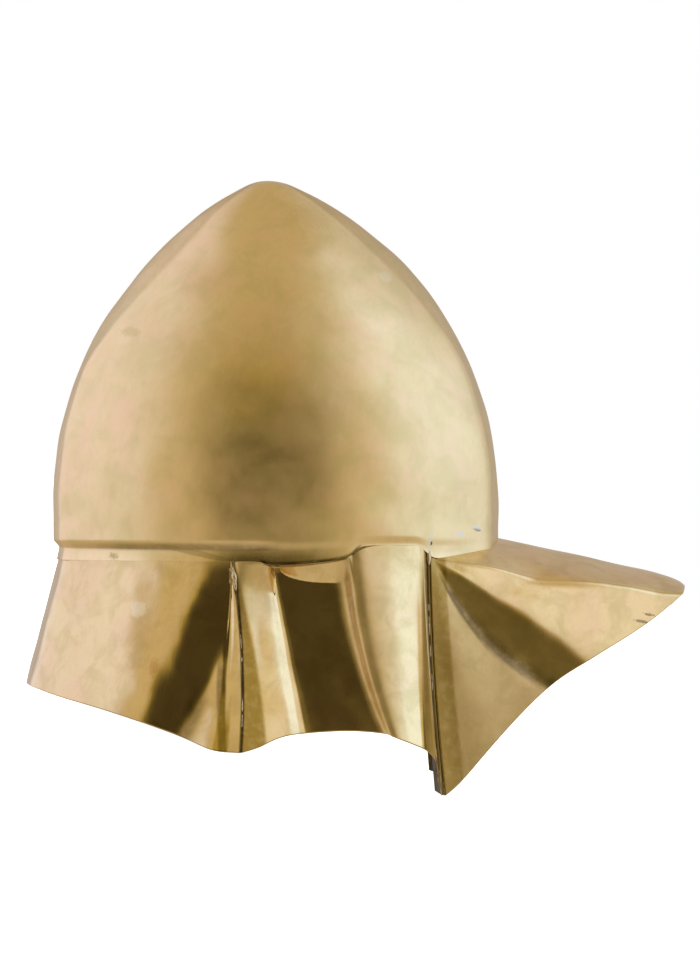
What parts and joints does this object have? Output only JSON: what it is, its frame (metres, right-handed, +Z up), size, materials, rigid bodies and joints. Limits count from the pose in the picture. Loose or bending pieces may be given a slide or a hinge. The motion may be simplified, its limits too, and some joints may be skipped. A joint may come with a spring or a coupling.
{
  "type": "boeotian helmet",
  "caption": "Polished sheet-brass cavalry helmet with a tall pointed skull, raised visor, pleated ear panels and a flared neck guard, resting on the tips of its pleats",
  "frame": {"origin": "Middle of the bounding box in plan, at the level of the surface the helmet rests on", "axes": "+X runs forward, out over the visor; +Y to the wearer's left; +Z up. The helmet is symmetric about the XZ plane."},
  "size_m": [0.3462, 0.238, 0.3012],
  "materials": {
    "satin_brass": "satin, hand-polished sheet brass",
    "bright_brass": "bright, mirror-like polish with faint scratches",
    "dull_brass": "darkened in the seam"
  },
  "bodies": {
    "root": {"skull": "satin_brass", "neck_guard": "bright_brass", "visor": "bright_brass", "ear_panel_left": "bright_brass", "ear_panel_right": "bright_brass", "seam_strip_left": "dull_brass", "seam_strip_right": "dull_brass"}
  },
  "joints": []
}
